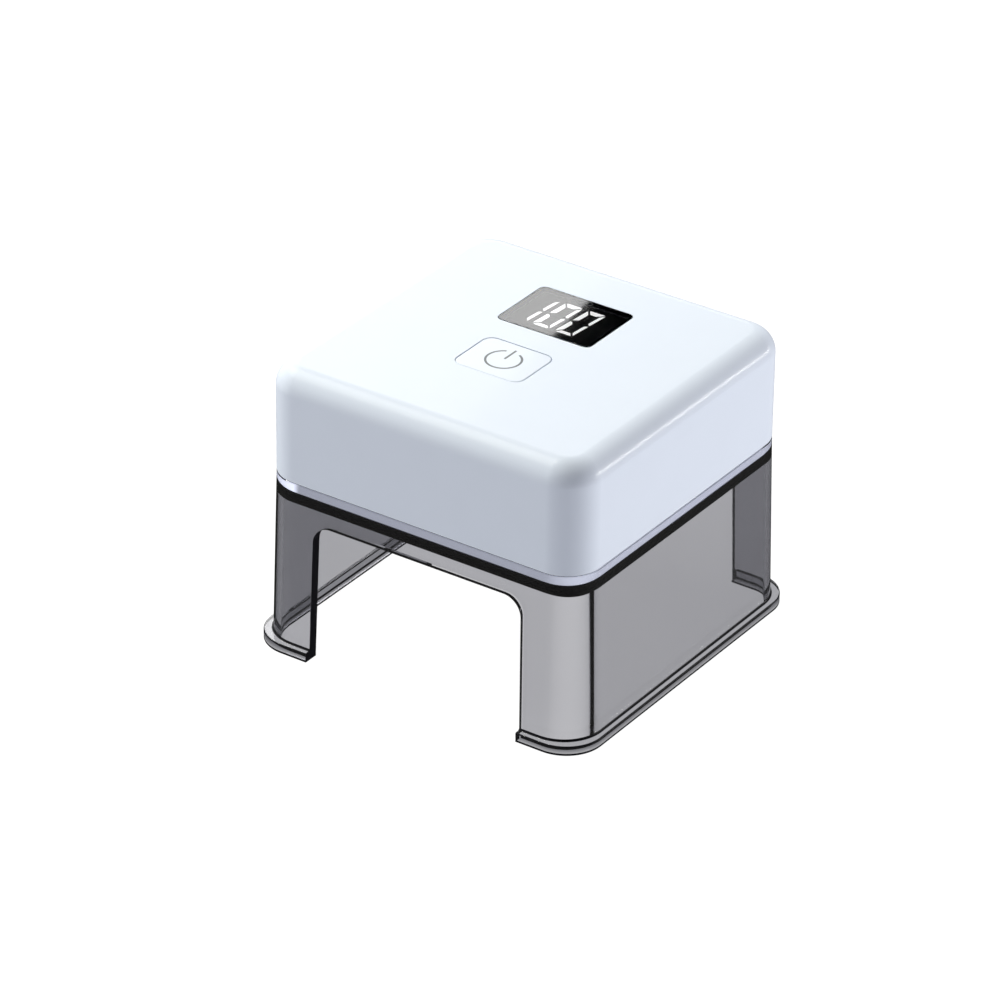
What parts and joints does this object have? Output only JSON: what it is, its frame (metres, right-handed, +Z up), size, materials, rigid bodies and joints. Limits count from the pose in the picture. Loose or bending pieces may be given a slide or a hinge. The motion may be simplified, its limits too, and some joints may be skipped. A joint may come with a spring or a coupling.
{
  "type": "mini uv led nail lamp",
  "caption": "Small square nail-curing lamp: a white head with a lit display and a power key on a smoked see-through arched stand.",
  "frame": {"origin": "on the floor under the middle of the stand", "axes": "+Z up; the arched front faces -Y and the socket is in the rear wall, +Y; +X is to the right when seen from the front"},
  "size_m": [0.0826, 0.0826, 0.0648],
  "materials": {
    "smoked_plastic": "smoked see-through moulded plastic, polished",
    "white_gloss": "gloss white moulded plastic",
    "dark_lens": "dark tinted lens, mirror gloss",
    "display_black": "dark moulded body with a fine grain",
    "lit_white": "cast resin bars that glow white",
    "unlit_grey": "cast resin bars, unlit",
    "tinned_metal": "tinned pins",
    "key_white": "gloss white moulded plastic",
    "symbol_grey": "grey printed line, smooth",
    "switch_black": "moulded switch body",
    "plunger_white": "moulded plunger",
    "board_green": "glass fibre board with green lacquer",
    "steel": "zinc-plated steel screws",
    "chip_black": "moulded chip body",
    "ferrite": "pressed ferrite",
    "ceramic_tan": "fired ceramic",
    "resistor_black": "glazed chip resistors",
    "socket_steel": "folded steel, satin",
    "tongue_black": "moulded contact tongue",
    "battery_foil": "laminated silver pouch foil",
    "foam_grey": "closed-cell foam pad",
    "lead_red": "silicone lead jacket, red",
    "lead_black": "silicone lead jacket, black",
    "connector_white": "moulded connector, natural white",
    "board_aluminium": "aluminium lamp board, white lacquer",
    "bead_yellow": "moulded bead package",
    "dome_clear": "clear cast dome with a faint violet tint",
    "reflector_silver": "bright silvered plastic",
    "cover_black": "fine textured black moulding"
  },
  "bodies": {
    "lamp": {"smoked_stand": "smoked_plastic", "head_shell": "white_gloss", "display_window": "dark_lens", "display_housing": "display_black", "lit_digit_bars": "lit_white", "unlit_digit_bars": "unlit_grey", "display_pins": "tinned_metal", "switch_body": "switch_black", "main_board": "board_green", "board_screws": "steel", "control_chip": "chip_black", "control_chip_pins": "tinned_metal", "charge_chip": "chip_black", "charge_chip_pins": "tinned_metal", "inductor": "ferrite", "capacitors": "ceramic_tan", "resistors": "resistor_black", "usb_socket_shell": "socket_steel", "usb_socket_tongue": "tongue_black", "battery_cell": "battery_foil", "battery_pad": "foam_grey", "battery_lead_red": "lead_red", "battery_lead_black": "lead_black", "lamp_lead_red": "lead_red", "lamp_lead_black": "lead_black", "lead_sockets": "connector_white", "lead_plugs": "connector_white", "lamp_board": "board_aluminium", "lamp_board_screws": "steel", "bead_packages": "bead_yellow", "bead_domes": "dome_clear", "reflector": "reflector_silver", "bottom_cover": "cover_black", "cover_screws": "steel"},
    "key": {"power_key": "key_white", "power_symbol": "symbol_grey"},
    "plunger": {"switch_plunger": "plunger_white"}
  },
  "joints": [
    {"name": "key_press", "type": "slide", "parent": "lamp", "child": "key", "axis": [0, 0, -1], "range_m": [0, 0.00035], "stiffness_N_per_m": 300, "springref_m": -0.001},
    {"name": "plunger_press", "type": "slide", "parent": "lamp", "child": "plunger", "axis": [0, 0, -1], "range_m": [0, 0.00035]}
  ],
  "couplings": [
    {"joint": "plunger_press", "follows": "key_press", "ratio": 1}
  ]
}
